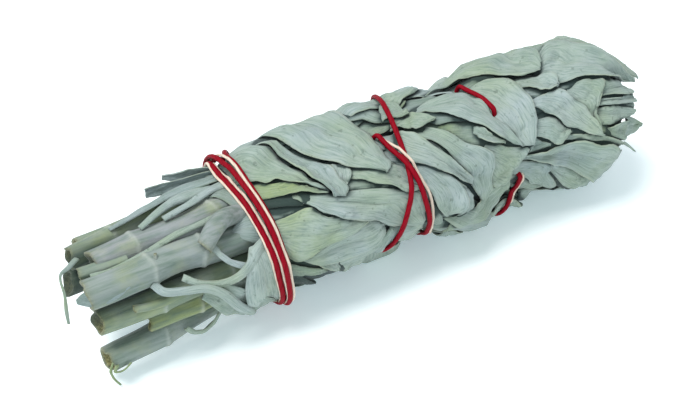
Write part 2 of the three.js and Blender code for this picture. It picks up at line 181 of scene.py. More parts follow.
def inner_radius(s, angle):
    waist = WAIST_DEPTH * np.exp(-((string_distance(s, angle) / WAIST_REACH) ** 2))
    below = np.maximum(0, -np.sin(np.radians(angle)))
    return np.interp(s, *zip(*INNER)) - waist * (1 + below) - PRESSED * below


class Field:
    """The radius that what is laid so far reaches, over s and angle."""

    FIRST_S, S_STEP, S_COUNT = -12.0, 0.5, 410
    ANGLE_STEP, ANGLE_COUNT = 1.5, 240
    WOUND_FROM, BARE_RADIUS = 36, 4.0

    def __init__(self):
        s = self.FIRST_S + self.S_STEP * np.arange(self.S_COUNT)[:, None]
        angle = self.ANGLE_STEP * np.arange(self.ANGLE_COUNT)[None, :]
        self.radius = np.where(s < self.WOUND_FROM, self.BARE_RADIUS, inner_radius(s, angle))

    def cell(self, s, angle):
        i = np.clip(np.rint((s - self.FIRST_S) / self.S_STEP).astype(int), 0, self.S_COUNT - 1)
        j = np.mod(np.rint(angle / self.ANGLE_STEP).astype(int), self.ANGLE_COUNT)
        return i, j

    def reached(self, s, angle):
        """The highest radius at a place and in the cells beside it."""
        i, j = self.cell(s, angle)
        top = self.radius[i, j]
        for di, dj in ((1, 0), (-1, 0), (0, 1), (0, -1)):
            beside = np.clip(i + di, 0, self.S_COUNT - 1), np.mod(j + dj, self.ANGLE_COUNT)
            top = np.maximum(top, self.radius[beside])
        return top

    def rise(self, s, angle, radius):
        np.maximum.at(self.radius, self.cell(s, angle), radius)

    def rise_to(self, points, thickness=0.0):
        """Rises to a fine grid of points (s, y, z) from the bunch's axis."""
        y, z = points[..., 1], points[..., 2]
        self.rise(points[..., 0], np.degrees(np.arctan2(z, y)), np.hypot(y, z) + thickness)


def evened(r):
    """A grid of values averaged with their neighbours."""
    padded = np.pad(r, 1, mode="edge")
    padded[0] = 2 * padded[1] - padded[2]
    padded[-1] = 2 * padded[-2] - padded[-3]
    padded[:, 0] = 2 * padded[:, 1] - padded[:, 2]
    padded[:, -1] = 2 * padded[:, -2] - padded[:, -3]
    along = (padded[:-2] + 2 * padded[1:-1] + padded[2:]) / 4
    return (along[:, :-2] + 2 * along[:, 1:-1] + along[:, 2:]) / 4


def widened(r):
    """A grid of values, each raised to the highest of its neighbours."""
    near = np.pad(r, 1, mode="edge")
    return np.max([r, near[:-2, 1:-1], near[2:, 1:-1], near[1:-1, :-2], near[1:-1, 2:]], axis=0)


def refined(grid, times):
    """The grid with points put between its own, by straight lines."""
    rows = np.linspace(0, grid.shape[0] - 1, (grid.shape[0] - 1) * times + 1)
    columns = np.linspace(0, grid.shape[1] - 1, (grid.shape[1] - 1) * times + 1)
    i = np.minimum(rows.astype(int), grid.shape[0] - 2)
    j = np.minimum(columns.astype(int), grid.shape[1] - 2)
    p, q = (rows - i)[:, None], (columns - j)[None, :]
    return (
        grid[np.ix_(i, j)] * (1 - p) * (1 - q) + grid[np.ix_(i + 1, j)] * p * (1 - q)
        + grid[np.ix_(i, j + 1)] * (1 - p) * q + grid[np.ix_(i + 1, j + 1)] * p * q
    )


def refined_points(points, times):
    return np.stack([refined(points[..., i], times) for i in range(3)], axis=-1)


# Leaves
FIRST_SECTOR = 15  # angle of the first stem's leaves
SECTOR = 40  # angle between the leaves of one stem and of the next
# Shown leaves from the lowest to the topmost, each by its two edges from root to tip (s, angle).
# reach is the least radius over s, rim and lift are how far the free rims and the tip rise, and
# tint and green shift the colour
SHOWN_LEAVES = [
    dict(a=[(80, 36), (90, 30), (98, 30), (106, 40)],
         b=[(80, 70), (90, 76), (98, 74), (106, 62)], tint=0.5, green=0.4, rim=0.2, lift=0),
    dict(a=[(132.5, 178), (139, 190), (149, 212)],
         b=[(134, 191), (140, 215), (147, 226), (150, 218)], tint=0.5),
    dict(a=[(148.5, 142), (154.5, 145), (161.5, 154), (160.5, 157)],
         b=[(148, 155), (153, 159), (158, 159), (161, 159)], tint=0.6),
    dict(a=[(148.5, 137), (156, 140), (164.5, 142), (163.5, 146)],
         b=[(148, 141), (156, 146), (163, 149), (163.5, 147)], tint=0.7, green=0.3),
    dict(a=[(151, 125), (155.5, 127), (162, 130), (166.5, 139)],
         b=[(149, 136), (157, 139), (165.5, 142), (166.5, 140)], tint=0.5),
    dict(a=[(150.5, 161), (154.5, 159), (160.5, 163), (166, 172), (170, 185)],
         b=[(151, 166), (156.5, 176), (162, 188), (168, 198), (170.5, 190)], tint=0.4, lift=1.5),
    dict(a=[(136.5, 155), (143.5, 159), (149.5, 165), (157.5, 179), (165, 201.5)],
         b=[(136, 159), (142, 164), (149.5, 170), (157, 183), (165, 202.5)],
         tint=0.7, lift=0, reach=[(149, 14.5), (158, 17), (165, 19.3)]),
    dict(a=[(125.5, 144), (129, 151), (132, 158)],
         b=[(122.5, 158), (127, 159), (131.5, 159)], tint=0.2),
    dict(a=[(120, 165), (126.5, 171), (132.5, 178), (133, 190), (138, 215)],
         b=[(120, 180), (123, 184), (127, 196), (130.5, 205), (137.5, 222)], tint=0.3),
    dict(a=[(146, 118), (150, 121), (153, 127), (149.5, 137), (147.5, 146), (148, 162)],
         b=[(141, 124), (142.5, 131), (144.5, 140), (145.5, 149), (146.5, 157), (147.5, 162)],
         tint=0.45),
    dict(a=[(138, 50), (148, 38), (156, 38), (163, 50), (168, 80), (172.5, 118)],
         b=[(139, 88), (148, 86), (153, 92), (158, 104), (165, 118), (172.5, 128)],
         tint=0.35, lift=0,
         reach=[(138, 18.5), (150, 19.6), (157, 21.8), (162, 18.6), (166, 15.5), (172, 11.5)]),
    dict(a=[(112.5, 62), (123, 45), (131, 42), (137.5, 48)],
         b=[(112, 70), (119, 72), (125, 74), (135, 63)],
         tint=0.3, green=0.6, reach=[(112, 18.6), (118, 20.2), (124, 21.6), (133, 21.8), (138, 21)]),
    dict(a=[(121.5, 162), (129.5, 162), (138.5, 162), (147.5, 169), (154.5, 180), (162.5, 208)],
         b=[(121, 165), (128, 171), (135.5, 183), (146, 206), (155, 222), (163, 215)],
         tint=0.6, rim=1.4),
    dict(a=[(126, 134), (134.5, 137), (137.5, 145), (140, 152)],
         b=[(125, 143), (130.5, 152), (134.5, 160), (139, 154)], tint=0.6),
    dict(a=[(130, 116), (138, 118), (141.5, 124), (144, 138), (146, 150), (147.5, 163)],
         b=[(130, 121), (133.5, 132), (136.5, 141), (140, 151), (143.5, 157), (147.5, 163)],
         tint=0.8, green=0.4),
    dict(a=[(142, 81), (152, 73), (155.5, 87), (161, 105), (166, 119), (170, 130)],
         b=[(137, 95), (140, 108), (141.5, 115), (149, 118), (156, 125), (169.5, 131)],
         tint=0.6, green=0.2),
    dict(a=[(128.5, 90), (136, 97), (139.5, 101), (141, 108), (140.5, 115)],
         b=[(127, 101), (132.5, 108), (135, 114), (137, 117), (140.5, 116)], tint=0.8, green=0.5),
    dict(a=[(100, 155), (104, 169), (105, 181), (104.5, 193), (100.5, 201)],
         b=[(98, 156), (101, 173), (101.5, 185), (99.5, 193), (95.5, 203)], tint=0.3),
    dict(a=[(105, 191), (109.5, 188), (113.5, 180), (118.5, 179)],
         b=[(96, 193), (108, 209), (116, 204), (119, 192)], tint=0.4),
    dict(a=[(110, 137), (117.5, 147), (123.5, 154), (123, 161), (120.5, 171)],
         b=[(109, 147), (110.5, 162), (113, 180), (117, 180), (120.5, 172)], tint=0.7),
    dict(a=[(90.5, 132), (96, 144), (100, 156), (102.5, 167), (102, 177), (100, 184), (96.5, 185)],
         b=[(88, 136), (90.5, 148), (91.5, 158), (92.5, 167), (93, 174), (94.5, 181), (96, 185)],
         tint=0.6, green=0.3),
    dict(a=[(110, 123), (112, 130), (114, 136), (116.5, 143)],
         b=[(109, 129), (109.5, 136), (111.5, 140), (116, 143)], tint=0.5, green=0.4),
    dict(a=[(96, 101), (101.5, 119), (105.5, 132), (109.5, 140), (112, 150), (112, 165), (112, 179),
            (110, 188)],
         b=[(93, 113), (97.5, 125), (101, 138), (103, 148), (104.5, 158), (105.5, 165), (106.5, 174),
            (108.5, 186)], tint=0.6, green=0.35),
    dict(a=[(116.5, 80), (122, 84), (128, 92), (129.5, 102), (131, 116), (130.5, 132), (128.5, 141),
            (126, 153)],
         b=[(114, 84), (116, 94), (117.5, 106), (118, 116), (118.5, 125), (119.5, 135), (120.5, 143),
            (122.5, 151)], tint=0.7, green=0.4),
    dict(a=[(114, 63), (121, 55), (128, 48), (137, 44), (142, 50), (143, 68), (141, 90)],
         b=[(104, 74), (110.5, 73), (117, 72), (123, 81), (128.5, 91), (134, 97), (139, 97)], tint=0.5),
    dict(a=[(98.5, 85), (103.5, 87), (108.5, 87), (114.5, 85), (116, 95), (117.5, 105), (118, 121),
            (120, 136), (122, 150)],
         b=[(97, 89), (100.5, 98), (103.5, 106), (106.5, 113), (109, 120), (112, 128), (115, 137),
            (118.5, 144), (122, 150)], tint=0.55, green=0.2),
    dict(a=[(90, 98), (92.5, 111), (96, 125), (100, 140), (103, 151), (105.5, 162)],
         b=[(86.5, 125), (90, 135), (95, 143), (99, 153), (102, 161), (105.5, 170)], tint=0.8),
    dict(a=[(90.5, 90), (96, 91), (99.5, 99), (101, 108)],
         b=[(89.5, 97), (93, 106), (95, 110), (100, 109)], tint=0.5),
    dict(a=[(91.5, 67), (95.5, 73), (96.5, 86), (95.5, 93)],
         b=[(88.5, 86), (90.5, 91), (92.5, 94), (95.5, 94)], tint=0.4, green=0.4),
    dict(a=[(77.5, 181), (82, 179), (88, 182), (89.5, 191)],
         b=[(76, 207), (80.5, 210), (85, 209), (89, 194)], tint=0.5),
    dict(a=[(45, 175), (50.5, 182), (55.5, 188), (59, 195)],
         b=[(45, 189), (51, 198), (56, 202), (59, 196)], tint=0.2),
    dict(a=[(51.5, 174), (56.5, 178), (61, 187), (64, 198), (65.5, 206)],
         b=[(52, 177), (56, 185), (59.5, 195), (63, 205), (65.5, 212)], tint=0.7),
    dict(a=[(63, 193), (68.5, 191), (73.5, 188), (76.5, 181), (79, 177)],
         b=[(64.5, 214), (71, 217), (76.5, 215), (77, 193), (79, 178)], tint=0.5),
    dict(a=[(49, 171), (58, 171), (64.5, 165), (71, 162), (75, 168), (78, 175)],
         b=[(49.5, 176), (57.5, 186), (64.5, 189), (72, 189), (75.5, 180), (77.5, 175)], tint=0.85),
    dict(a=[(54, 123), (59, 132), (62, 137), (64, 144), (66, 150)],
         b=[(53, 126), (55.5, 136), (57.5, 142), (61, 148), (65.5, 151)], tint=0.6),
    dict(a=[(45, 139), (52, 139), (57, 139), (60.5, 148), (65.5, 154), (71, 162)],
         b=[(44.5, 153), (47, 164), (50, 174), (55.5, 174), (62.5, 169), (71, 163)],
         tint=0.7, green=0.9),
    dict(a=[(55.5, 127), (62.5, 134), (73.5, 141), (81.5, 148), (87.5, 154), (89.5, 167), (89.5, 176),
            (88, 182)],
         b=[(55.5, 134), (58, 143), (61, 150), (65.5, 155), (70.5, 161), (74.5, 167), (80, 177),
            (87.5, 182)], tint=0.75, green=0.3),
    dict(a=[(46, 98), (51.5, 111), (55, 114), (56.5, 121), (59, 127), (62.5, 133)],
         b=[(43, 114), (47.5, 120), (50.5, 123), (55.5, 127), (58.5, 132), (62, 134)],
         tint=0.15, green=0.95),
    dict(a=[(43, 44), (50, 40), (58, 38), (66, 44)],
         b=[(43, 84), (50, 84), (57, 78), (66, 66)],
         tint=0.4, green=0.3, reach=[(43, 17), (47, 19.3), (52, 21), (66, 21.6)]),
    dict(a=[(44, 54), (49, 60), (55, 82), (57, 95), (58.5, 110), (60, 123), (62, 132)],
         b=[(43, 94), (46, 100), (49.5, 108), (52.5, 112), (57, 123), (62, 133)],
         tint=0.5, green=0.4, rim=0.4),
    dict(a=[(70.5, 115), (77.5, 121), (82.5, 128), (86, 134), (87.5, 144), (89, 154)],
         b=[(69, 124), (72, 131), (74.5, 136), (78.5, 143), (83.5, 150), (89, 155)],
         tint=0.75, green=0.6),
    dict(a=[(71.5, 118), (71, 124), (70, 129), (69, 133), (68, 136)],
         b=[(67.5, 109), (67, 118), (67, 125), (67.5, 131), (67.5, 135)], tint=0.8),
    dict(a=[(55.5, 61), (59.5, 88), (64, 102), (66.5, 111), (67, 123), (67.5, 134), (66.5, 140)],
         b=[(52.5, 70), (55, 82), (56.5, 92), (58, 104), (59, 115), (60.5, 126), (63, 137)],
         tint=0.4, rim=0.35, lift=0.2),
    dict(a=[(63.5, 40), (71, 40), (78.5, 40), (80.5, 76), (83, 90), (82.5, 108), (82.5, 121),
            (82.5, 130), (80, 134)],
         b=[(55.5, 40), (57, 73), (59, 82), (62, 96), (66.5, 109), (69.5, 117), (72.5, 123),
            (76, 128), (80, 134)], tint=0.55, rim=0.35, lift=0.2),
]
# Leaves below: s and angle of the root, s and angle of the tip, width, sideways bow and whether the
# leaf rests on the floor
UNDER_LEAVES = [
    (128, 232, 160, 290, 13, 2, False), (118, 226, 134, 292, 16, 0, True),
    (102, 228, 111, 288, 11, 0, False), (90, 262, 108, 325, 14, 2, False),
    (80, 226, 90, 290, 14, 0, True), (62, 230, 73, 290, 12, 0, False),
    (54, 262, 72, 325, 14, 2, False), (128, 286, 160, 335, 13, 2, False),
    (106, 288, 132, 340, 14, 1, False), (72, 288, 94, 342, 14, 1, False),
    (42, 290, 64, 340, 13, 1, False), (44, 226, 66, 300, 14, 1, False),
]


def under_leaves():
    return [
        dict(root=(s, angle), tip=(tip_s, tip_angle), width=width, bow=bow, rests=rests)
        for s, angle, tip_s, tip_angle, width, bow, rests in UNDER_LEAVES
    ]


def back_leaves():
    """Leaves of the back in rows, drawn as in the solids."""
    state = 7

    def draw():
        nonlocal state
        state = state * 16807 % 2147483647
        return state / 2147483647

    leaves = []
    for row in range(7):
        for angle in (316, 350):
            s = 38 + row * 14 + 5 * draw()
            start = angle + (row % 2) * 14 + 10 * draw()
            tip_s = min(s + 26 + 12 * draw(), 170)
            tip = (tip_s, start + 60 + 30 * draw())
            leaves.append(dict(root=(s, start), tip=tip, width=15 + 4 * draw(), bow=3 + 3 * draw()))
    return leaves


def filler_leaves():
    """A looser first layer that shows only in the gaps."""
    draw = np.random.default_rng(11)
    leaves = []
    for row in range(12):
        for column in range(8):
            s = 34 + 10 * row + draw.uniform(-4, 4)
            angle = 45 * column + 22 * (row % 2) + draw.uniform(-12, 12)
            tip = (min(s + draw.uniform(24, 36), 172), angle + draw.uniform(15, 60))
            width, bow = draw.uniform(11, 16), draw.uniform(-2, 4)
            leaves.append(dict(root=(s, angle), tip=tip, width=width, bow=bow))
    # Rings of leaf tips, one in another, fill the end
    for ring, reach in enumerate((3, 6, 9, 12)):
        count = 5 + 3 * ring
        for k in range(count):
            angle = 360 / count * k + draw.uniform(-12, 12)
            leaves.append(dict(
                root=(150 - 3 * ring, angle),
                tip=(draw.uniform(164, 171), angle + draw.uniform(0, 30)),
                width=170 / reach, bow=0,
                reach=[(138, 12.5), (150, 0.5 * reach + 6), (160, reach + 1.5), (172, reach)],
            ))
    return leaves


# Least radius over s of the shown leaves past TIP_END
TIP_REACH = [(146, 16), (152, 16.8), (158, 15.8), (165, 14), (172, 12), (180, 10)]
TIP_END = 146
ROWS_ALONG = 44
ROWS_ACROSS = 16
UNDERSIDE = 0.5  # sine of the angle below which the floor holds the leaves
DRAPE_PASSES = 8
CLEARANCE = 0.1  # between a blade and what is below it
UNEVEN = 0.12  # how far a blade stands off unevenly


def blade_half_width(u, width):
    shape = np.sin(math.pi * np.clip(u, 0, 1) ** 0.85) ** 0.65
    return np.maximum(shape, 0.1 * (1 - u)) * width / 2


def blade_grid(leaf, seed):
    """u along a blade and v across it, s and angle of its points, its length and its half width."""
    u = np.linspace(0, 1, ROWS_ALONG + 1)[:, None]
    t = np.linspace(-1, 1, ROWS_ACROSS + 1)[None, :]
    v = np.sign(t) * np.abs(t) ** 1.15
    rim = np.abs(v) ** 6
    if "a" in leaf:
        edges = [curve_through(leaf[key], ROWS_ALONG + 1) for key in "ab"]
        arc = np.array([1, math.radians(ARC_RADIUS)])
        half = np.linalg.norm((edges[0] - edges[1]) * arc, axis=1)[:, None] / 2
        middle = (edges[0] + edges[1]) / 2
        length = np.sum(np.linalg.norm(np.diff(middle, axis=0) * arc, axis=1))
        fray = 0.28 * ripple(u * length / 10, np.sign(v) * 2, seed + 5)
        fray = fray + 0.04 * np.sin(FULL_TURN * u * length / 2.1)
        side = v * (1 + fray * rim / np.maximum(half, 1.5))
        at = middle[:, None] + side[..., None] * ((edges[0] - edges[1]) / 2)[:, None]
        return u, v, at[..., 0], at[..., 1], length, np.maximum(half, 0.4)
    root, tip = (np.array([s, ARC_RADIUS * math.radians(a)]) for s, a in (leaf["root"], leaf["tip"]))
    chord = tip - root
    length = np.hypot(*chord)
    normal = np.array([chord[1], -chord[0]]) / length
    control = (root + tip) / 2 + 2 * leaf["bow"] * normal
    at = (1 - u) ** 2 * root + 2 * u * (1 - u) * control + u * u * tip
    way = unit(2 * (1 - u) * (control - root) + 2 * u * (tip - control))
    sway = 0.7 * ripple(u * length / 22, 0 * u, seed) * np.sin(math.pi * u)
    half = blade_half_width(u, leaf["width"])
    fray = 0.03 * ripple(u * length / 7, np.sign(v) * 2, seed + 5)
    side = v * half * (1 + fray * rim) + sway
    s = at[:, :1] + side * way[:, 1:]
    angle = np.degrees((at[:, 1:] - side * way[:, :1]) / ARC_RADIUS)
    return u, v, s, angle, length, half


def floor_radius(angle):
    return (AXIS_HEIGHT - FLOOR_GAP) / np.maximum(0.2, -np.sin(np.radians(angle)))


def held_up(r, angle):
    """Radii that keep off the floor on the underside."""
    below = np.sin(np.radians(angle)) < -UNDERSIDE
    return np.where(below, np.minimum(r, floor_radius(angle)), r)


def drape(leaf, field, seed):
    """A blade laid flat on what is there, as a record that is finished once all are laid."""
    u, v, s, angle, length, half = blade_grid(leaf, seed)
    need = field.reached(s, angle) + CLEARANCE
    if "a" in leaf:
        reach = np.interp(s, *zip(*leaf.get("reach", TIP_REACH)))
        need = np.where(s > TIP_END, np.maximum(need, reach), need)
    if "reach" in leaf:
        need = np.maximum(need, np.interp(s, *zip(*leaf["reach"])))
    r = need
    for _ in range(DRAPE_PASSES):
        r = np.maximum(need, evened(r))
    r = r + UNEVEN * (1 + ripple(u * length / 9, v * half / 9, seed + 2)) * smoothstep(u, 0, 0.2)
    r = held_up(r, angle)
    field.rise(refined(s, 3), refined(angle, 3), refined(r, 3) + BLADE)
    return dict(leaf=leaf, seed=seed, u=u, v=v, s=s, angle=angle, r=r, length=length, half=half)


# How far another blade lies above one that it covers, and how far from a string a rim is free
COVERING = (0.3, 0.6)
CLEAR_OF_STRING = (1.5, 7)
MIDRIB_DEPTH, MIDRIB_REACH = 0.3, 0.7
RESTING_ANGLE = 19  # half the angle round the bunch over which a leaf rests on the floor


def lifted(laid, field):
    """The radii of a laid blade with its free rims raised where no other blade covers them."""
    u, v, s, angle, r = (laid[key] for key in ("u", "v", "s", "angle", "r"))
    seed, length, half, leaf = (laid[key] for key in ("seed", "length", "half", "leaf"))
    covered = smoothstep(field.radius[field.cell(s, angle)] - widened(r) - BLADE, *COVERING)
    # Painted shade where another blade covers this one, softened towards the covering edge
    shade = evened(covered) if covered.any() else covered
    for _ in range(2):
        covered = widened(covered)
    for _ in range(3):
        covered = evened(covered)
    free = np.clip(1 - covered, 0, 1) * smoothstep(string_distance(s, angle), *CLEAR_OF_STRING)
    side = np.where(v > 0, 1.0, -1.0)
    rim = 0.55 + 0.45 * ripple(u * length / 20, side, seed + 1)
    crimp = 4 * ripple(u * length / 9, side, seed + 3)
    crimp = 0.05 * np.sin(FULL_TURN * u * length / 3.4 + crimp) * np.abs(v) ** 5
    raised = leaf.get("rim", 0.8) * np.clip(rim, 0.1, 1.4) * np.abs(v) ** 2.2
    raised = (raised + crimp) * np.sin(math.pi * np.clip(u, 0, 1)) ** 0.4
    r = r + free * (raised + leaf.get("lift", 0.5) * u**5)
    midrib = np.exp(-((v * half / MIDRIB_REACH) ** 2)) * hump(u, (0.02, 0.15), (0.8, 1))
    r = held_up(r - MIDRIB_DEPTH * midrib * free, angle)
    if leaf.get("rests"):
        down = np.exp(-(((np.mod(angle, 360) - 270) / RESTING_ANGLE) ** 4)) * (1 - np.abs(v) ** 5)
        r = r + down * np.maximum(0, floor_radius(angle) - r)
    return r, np.clip(shade, 0, 1)


class MeshBuilder:
    """Gathers grids into one mesh, with values on its points."""

    def __init__(self, *attributes):
        self.points, self.faces = [], []
        self.values = {name: [] for name in attributes}
        self.count = 0

    def add(self, points, faces, **values):
        points = np.asarray(points).reshape(-1, 3)
        self.points.append(points)
        self.faces.extend(tuple(int(k) + self.count for k in face) for face in faces)
        for name, store in self.values.items():
            store.append(np.broadcast_to(np.ravel(values[name]), len(points)))
        self.count += len(points)

    def object(self, name, material):
        mesh = bpy.data.meshes.new(name)
        mesh.from_pydata(np.concatenate(self.points).tolist(), [], self.faces)
        for key, store in self.values.items():
            attribute = mesh.attributes.new(key, "FLOAT", "POINT")
            attribute.data.foreach_set("value", np.concatenate(store).astype(np.float32))
        mesh.shade_smooth()
        mesh.materials.append(material)
        piece = bpy.data.objects.new(name, mesh)
        bpy.context.collection.objects.link(piece)
        return piece


def grid_normals(points):
    n = np.cross(np.gradient(points, axis=0), np.gradient(points, axis=1))
    return n / np.maximum(np.linalg.norm(n, axis=-1, keepdims=True), 1e-12)


def add_blade(builder, points, u, v, tint, green, shade, thickness=BLADE):
    """A blade of even thickness on a grid of points, which are its inner face."""
    u, v, shade = (np.broadcast_to(value, points.shape[:2]) for value in (u, v, shade))
    normals = grid_normals(points)
    axis = MM * np.array([0, SIDEWAYS, AXIS_HEIGHT])
    if np.mean(np.sum((normals * (points - axis))[..., 1:], axis=-1)) < 0:
        points, v, shade = points[:, ::-1], v[:, ::-1], shade[:, ::-1]
        normals = grid_normals(points)
    outer = points + normals * thickness * MM * (1 - 0.6 * np.abs(v) ** 8)[..., None]
    index = np.arange(u.size).reshape(u.shape)
    a, b, c, d = index[:-1, :-1], index[1:, :-1], index[1:, 1:], index[:-1, 1:]
    inner_faces = np.stack([a, d, c, b], axis=-1).reshape(-1, 4)
    outer_faces = np.stack([a, b, c, d], axis=-1).reshape(-1, 4) + u.size
    rim = np.concatenate([index[:-1, 0], index[-1, :-1], index[:0:-1, -1], index[0, :0:-1]])
    following = np.roll(rim, -1)
    rim_faces = np.stack([rim, following, following + u.size, rim + u.size], axis=-1)
    u, v, shade = (np.tile(value.ravel(), 2) for value in (u, v, shade))
    builder.add(
        np.concatenate([points.reshape(-1, 3), outer.reshape(-1, 3)]),
        [*inner_faces, *outer_faces, *rim_faces],
        along=u, across=v, shade=shade, tint=tint, green=green,
    )


# Materials


class Look:
    """A material and short ways to add nodes to it."""

    def __init__(self, name, roughness, specular=0.5):
        self.made = bpy.data.materials.new(name)
        self.made.use_nodes = True
        self.nodes = self.made.node_tree.nodes
        self.shader = self.nodes["Principled BSDF"]
        self.shader.inputs["Roughness"].default_value = roughness
        self.shader.inputs["Specular IOR Level"].default_value = specular

    def feed(self, socket, value):
        """Gives a socket a number, a colour or another node's output."""
        if isinstance(value, (int, float)):
            socket.default_value = value
        elif isinstance(value, tuple):
            socket.default_value = (*value, 1)
        else:
            self.made.node_tree.links.new(value, socket)

    def add(self, kind, output, **inputs):
        """The output of a new node, with its inputs fed by name."""
        node = self.nodes.new("ShaderNode" + kind)
        for name, value in inputs.items():
            self.feed(node.inputs[name.replace("_", " ")], value)
        return node.outputs[output]

    def attribute(self, name):
        node = self.nodes.new("ShaderNodeAttribute")
        node.attribute_name = name
        return node.outputs["Fac"]

    def ramp(self, factor, stops):
        node = self.nodes.new("ShaderNodeValToRGB")
        elements = node.color_ramp.elements
        while len(elements) > 1:
            elements.remove(elements[-1])
        elements[0].position, elements[0].color = stops[0][0], (*stops[0][1], 1)
        for position, colour in stops[1:]:
            elements.new(position).color = (*colour, 1)
        self.feed(node.inputs["Fac"], factor)
        return node.outputs["Color"]

    def noise(self, vector, scale, detail, rough):
        return self.add("TexNoise", "Fac", Vector=vector, Scale=scale, Detail=detail, Roughness=rough)

    def mix(self, factor, a, b):
        node = self.nodes.new("ShaderNodeMix")
        node.data_type = "RGBA"
        for socket, value in ((node.inputs[0], factor), (node.inputs[6], a), (node.inputs[7], b)):
            self.feed(socket, value)
        return node.outputs[2]

    def maths(self, operation, *values, clamp=False):
        node = self.nodes.new("ShaderNodeMath")
        node.operation = operation
        node.use_clamp = clamp
        for socket, value in zip(node.inputs, values):
            self.feed(socket, value)
        return node.outputs[0]

    def times(self, a, b, clamp=False):
        return self.maths("MULTIPLY", a, b, clamp=clamp)

    def mapped(self, value, low, high):
        return self.add("MapRange", "Result", Value=value, From_Min=low, From_Max=high)

    def bump(self, height, distance, strength, normal=None):
        under = {} if normal is None else dict(Normal=normal)
        return self.add("Bump", "Normal", Height=height, Distance=distance, Strength=strength, **under)

    def finish(self, colour, normal, sheen=0.0):
        self.feed(self.shader.inputs["Base Color"], colour)
        self.feed(self.shader.inputs["Normal"], normal)
        self.shader.inputs["Sheen Weight"].default_value = sheen
        return self.made


def leaf_material():
    look = Look("sage_leaf_look", 0.85, 0.2)
    where = look.add("TexCoord", "Object")
    along, across, tint = (look.attribute(name) for name in ("along", "across", "tint"))
    off_middle = look.maths("ABSOLUTE", across)
    stops = [(0, (0.14, 0.195, 0.18)), (0.5, (0.235, 0.305, 0.275)), (1, (0.33, 0.40, 0.37))]
    body = look.ramp(tint, stops)
    felt = look.times(look.mapped(look.noise(where, 90, 5, 0.6), 0.38, 0.66), 0.75)
    colour = look.mix(felt, body, (0.31, 0.365, 0.395))
    green = look.mapped(look.noise(where, 55, 3, 0.5), 0.36, 0.66)
    colour = look.mix(look.times(green, look.attribute("green")), colour, (0.235, 0.30, 0.13))
    worn = look.mapped(look.noise(where, 75, 3, 0.5), 0.4, 0.62)
    rim = look.times(look.mapped(off_middle, 0.9, 1.0), worn)
    colour = look.mix(look.times(rim, 0.45), colour, (0.35, 0.39, 0.26))
    midrib = look.maths("SUBTRACT", 1.0, look.mapped(off_middle, 0.0, 0.08))
    colour = look.mix(look.times(midrib, 0.2), colour, (0.29, 0.34, 0.25))
    # Streaks of felt along the blade
    lie = look.add("CombineXYZ", "Vector", X=look.times(along, 2.2), Y=look.times(across, 4.0), Z=tint)
    streak = look.noise(lie, 3.2, 6, 0.65)
    colour = look.mix(look.times(look.mapped(streak, 0.5, 0.75), 0.45), colour, (0.38, 0.43, 0.42))
    colour = look.mix(look.times(look.mapped(streak, 0.52, 0.32), 0.75), colour, (0.13, 0.19, 0.17))
    specks = look.mapped(look.noise(where, 600, 2, 0.5), 0.65, 0.73)
    colour = look.mix(look.times(specks, 0.45), colour, (0.07, 0.10, 0.08))
    # Painted shade: the creases between blades, where one covers another, are darkened nearly to black
    painted_crease_shade = look.mapped(look.attribute("shade"), 0.0, 0.6)
    colour = look.mix(look.times(painted_crease_shade, 0.9), colour, (0.008, 0.022, 0.022))
    # Side veins slant from the midrib to the rim
    veins = look.maths("SUBTRACT", along, look.times(off_middle, 0.12))
    normal = look.bump(look.maths("SINE", look.times(veins, 110)), 0.0001, 0.12)
    normal = look.bump(look.noise(where, 420, 5, 0.65), 0.0005, 0.5, normal)
    normal = look.bump(look.noise(where, 2600, 3, 0.6), 0.0002, 0.4, normal)
    normal = look.bump(streak, 0.0006, 0.5, normal)
    look.shader.inputs["Sheen Roughness"].default_value = 0.5
    return look.finish(colour, normal, sheen=0.12)


def stem_material():
    look = Look("sage_stem_look", 0.75, 0.25)
    where = look.add("TexCoord", "Object")
    stretch = look.nodes.new("ShaderNodeMapping")
    stretch.inputs["Scale"].default_value = (0.08, 1, 1)
    look.feed(stretch.inputs["Vector"], where)
    stops = [
        (0, (0.22, 0.265, 0.11)), (0.3, (0.17, 0.22, 0.15)), (0.65, (0.20, 0.25, 0.225)),
        (1, (0.225, 0.24, 0.25)),
    ]
    body = look.ramp(look.attribute("tint"), stops)
    fibre = look.noise(stretch.outputs["Vector"], 900, 4, 0.6)
    colour = look.mix(look.times(look.mapped(fibre, 0.4, 0.65), 0.75), body, (0.10, 0.15, 0.12))
    patch = look.mapped(look.noise(where, 130, 4, 0.6), 0.5, 0.72)
    colour = look.mix(look.times(patch, 0.4), colour, (0.30, 0.33, 0.17))
    bloom = look.mapped(look.noise(where, 75, 3, 0.5), 0.5, 0.7)
    colour = look.mix(look.times(bloom, 0.4), colour, (0.30, 0.32, 0.36))
    ring = look.times(look.attribute("node"), 0.4, clamp=True)
    colour = look.mix(ring, colour, (0.40, 0.43, 0.40))
    stops = [(0.35, (0.035, 0.035, 0.015)), (0.52, (0.16, 0.15, 0.06)), (0.75, (0.36, 0.36, 0.20))]
    pith = look.ramp(look.noise(where, 1400, 5, 0.7), stops)
    colour = look.mix(look.times(look.attribute("cut"), 2.2, clamp=True), colour, pith)
    # Painted shade: stems deep inside the bunch are darkened nearly to black
    colour = look.mix(look.times(look.attribute("deep"), 0.8), colour, (0.015, 0.03, 0.025))
    normal = look.bump(fibre, 0.0005, 0.5)
    normal = look.bump(look.noise(where, 1500, 4, 0.65), 0.0003, 0.4, normal)
    return look.finish(colour, normal, sheen=0.1)


def string_material(name, dark, light):
    look = Look(name, 0.6, 0.08)
    fuzz = look.noise(look.add("TexCoord", "Object"), 2500, 4, 0.7)
    # Painted shade: the grooves between the plies take the dark colour
    colour = look.mix(look.attribute("groove"), light, dark)
    colour = look.mix(look.mapped(fuzz, 0.4, 0.8), colour, light)
    return look.finish(colour, look.bump(fuzz, 0.0002, 0.5))


leaf_look = leaf_material()
stem_look = stem_material()

# Stems

